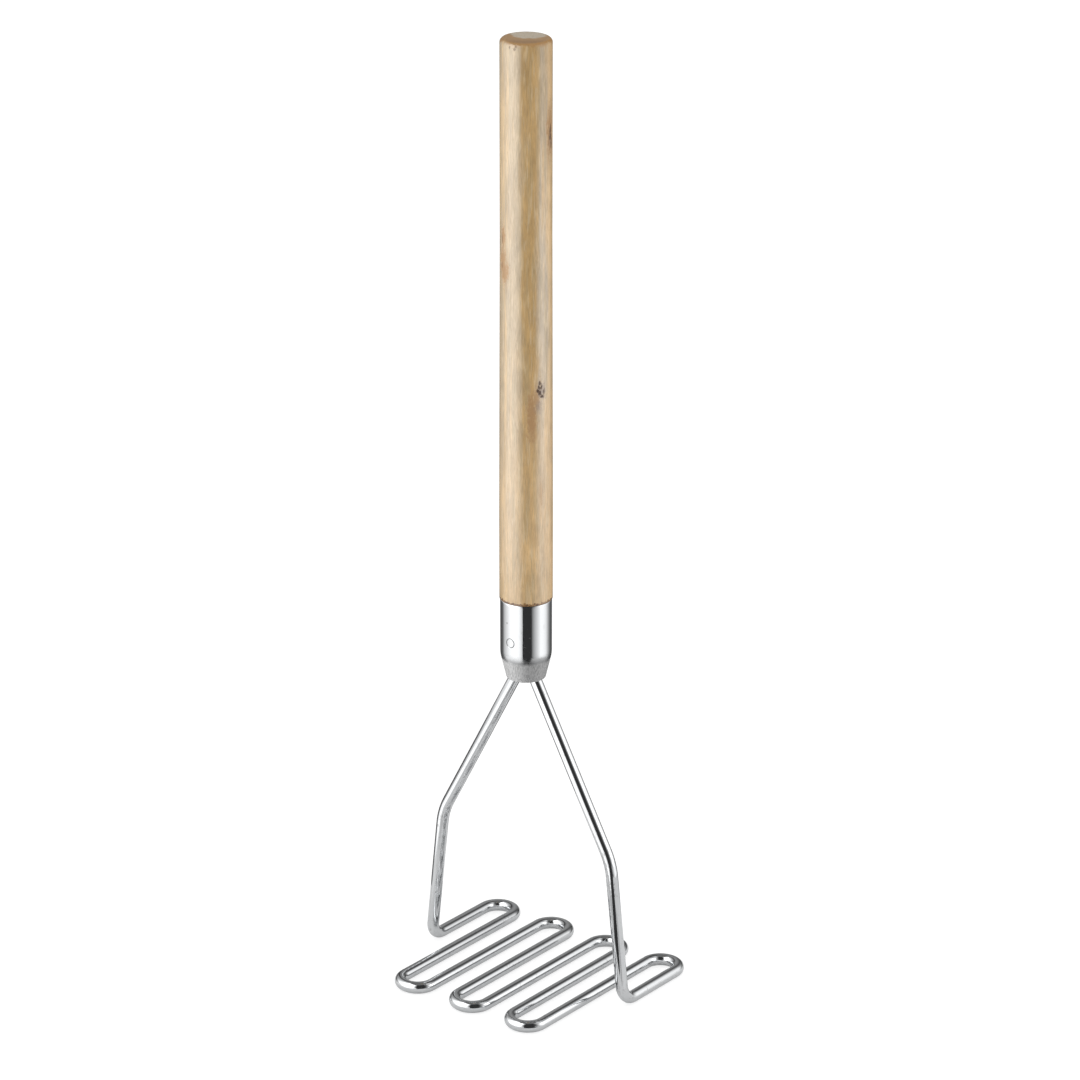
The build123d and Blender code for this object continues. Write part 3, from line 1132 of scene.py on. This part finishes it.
def white_world(ambient):
    """White where it is seen or reflected, and a softer strength as light."""
    world = bpy.data.worlds.new("white_room")
    world.use_nodes = True
    bpy.context.scene.world = world
    net = Net(world.node_tree)
    path = net.node("ShaderNodeLightPath").outputs
    seen = net.math("MAXIMUM", path["Is Camera Ray"], path["Is Glossy Ray"])
    seen = net.math("MAXIMUM", seen, path["Is Transmission Ray"])
    strength = net.plus(net.times(seen, 1.0 - ambient), ambient)
    background = net.tree.nodes["Background"]
    background.inputs["Color"].default_value = (1.0, 1.0, 1.0, 1.0)
    net.join(strength, background.inputs["Strength"])


def softbox(name, camera_turn, side, height, power):
    """Large area lamp aimed at the handle, at an angle from the camera's side."""
    data = bpy.data.lights.new(name, "AREA")
    data.shape, data.energy = "RECTANGLE", power
    data.size, data.size_y = SOFTBOX_SIZE
    lamp = linked(name, data)
    angle = camera_turn + math.radians(side - 90.0)
    lamp.location = (SOFTBOX_AWAY * math.cos(angle), SOFTBOX_AWAY * math.sin(angle), height)
    lamp.rotation_euler = (SOFTBOX_AIM - lamp.location).to_track_quat("-Z", "Y").to_euler()
    lamp.visible_glossy = False
    lamp.visible_camera = False


def set_camera(scene, stage):
    """Stands the camera where the photo was taken from."""
    lens = bpy.data.cameras.new("camera")
    lens.lens, lens.sensor_width = stage.camera_lens, 36.0
    lens.shift_x, lens.shift_y = stage.shift_across, stage.shift_up
    lens.clip_start, lens.clip_end = 0.05, 50.0
    camera = linked("camera", lens)
    camera.rotation_euler = (math.radians(90) - stage.camera_elevation, 0.0, stage.camera_turn)
    camera.location = stage.camera_place
    scene.camera = camera


class MASHER_OT_stage(bpy.types.Operator):
    """Sets the floor, the room, the lamps, the cards and the camera"""

    bl_idname = "masher.set_stage"
    bl_label = "Set the stage"

    def execute(self, context):
        stage = context.scene.masher.stage
        turn, ring, top = stage.camera_turn, stage.card_radius, stage.card_top
        corners = ((-1, -1), (1, -1), (1, 1), (-1, 1))
        points = [(x * FLOOR_REACH, y * FLOOR_REACH, 0.0) for x, y in corners]
        floor = flat_mesh("floor", points, [(0, 1, 2, 3)])
        floor.data.materials.append(floor_material(stage))
        white_world(stage.ambient)
        softbox("softbox_left", turn, -108.0, 0.75, stage.left_lamp)
        softbox("softbox_right", turn, 112.0, 0.70, stage.right_lamp)
        for side, stops, low, high, *rest in (
            ("left", LEFT_STOPS, 0.0, top, LEFT_HIGH_STOPS),
            ("front", FRONT_STOPS, 0.0, top),
            ("right", RIGHT_STOPS, 0.0, top, RIGHT_HIGH_STOPS, RIGHT_TOP_SHARE),
            ("back", BACK_STOPS, 0.0, BACK_SPLIT),
            ("back_high", BACK_HIGH_STOPS, BACK_SPLIT, top),
        ):
            card("card_" + side, turn, stops, ring, ring, low, high, *rest)
        card("card_ceiling", turn, CEILING_STOPS, ring, 0.0, top, top + CEILING_RISE)
        for side, stops, near, far in (
            ("front", FRONT_STOPS, 0.11, ring),
            ("left", LOW_LEFT_STOPS, 0.20, ring),
            ("near", LOW_NEAR_STOPS, 0.12, 0.20),
            ("right", LOW_RIGHT_STOPS, 0.12, 0.30),
            ("back", LOW_BACK_STOPS, 0.17, ring),
        ):
            card("card_low_" + side, turn, stops, near, far, LYING, LYING)
        set_camera(context.scene, stage)
        context.scene.view_settings.view_transform = "Standard"
        return {"FINISHED"}


class MASHER_PT_sidebar(bpy.types.Panel):
    """Lists the steps that build the masher, and its sizes and colours"""

    bl_idname = "MASHER_PT_sidebar"
    bl_label = "Potato masher"
    bl_space_type = "VIEW_3D"
    bl_region_type = "UI"
    bl_category = "Masher"

    def draw(self, context):
        masher = context.scene.masher
        for step, name in STEPS:
            box = self.layout.box()
            if step:
                box.operator(step.bl_idname)
            group = getattr(masher, name)
            for setting in group.__annotations__:
                box.prop(group, setting)


STEPS = (
    (MASHER_OT_wire, "wire"),
    (MASHER_OT_ferrule, "ferrule"),
    (MASHER_OT_rivet, "rivet"),
    (MASHER_OT_handle, "handle"),
    (MASHER_OT_stage, "stage"),
    (None, "finishes"),
)
CLASSES = (
    MASHER_PG_wire,
    MASHER_PG_ferrule,
    MASHER_PG_rivet,
    MASHER_PG_handle,
    MASHER_PG_finishes,
    MASHER_PG_stage,
    MASHER_PG_all,
    *(step for step, _ in STEPS if step),
    MASHER_PT_sidebar,
)


def register():
    for kind in CLASSES:
        bpy.utils.register_class(kind)
    bpy.types.Scene.masher = PointerProperty(type=MASHER_PG_all)


def unregister():
    del bpy.types.Scene.masher
    for kind in reversed(CLASSES):
        bpy.utils.unregister_class(kind)


def main():
    register()
    bpy.ops.masher.bend_wire()
    bpy.ops.masher.draw_ferrule()
    bpy.ops.masher.fit_rivet()
    bpy.ops.masher.turn_handle()
    bpy.ops.masher.set_stage()


if __name__ == "__main__":
    main()
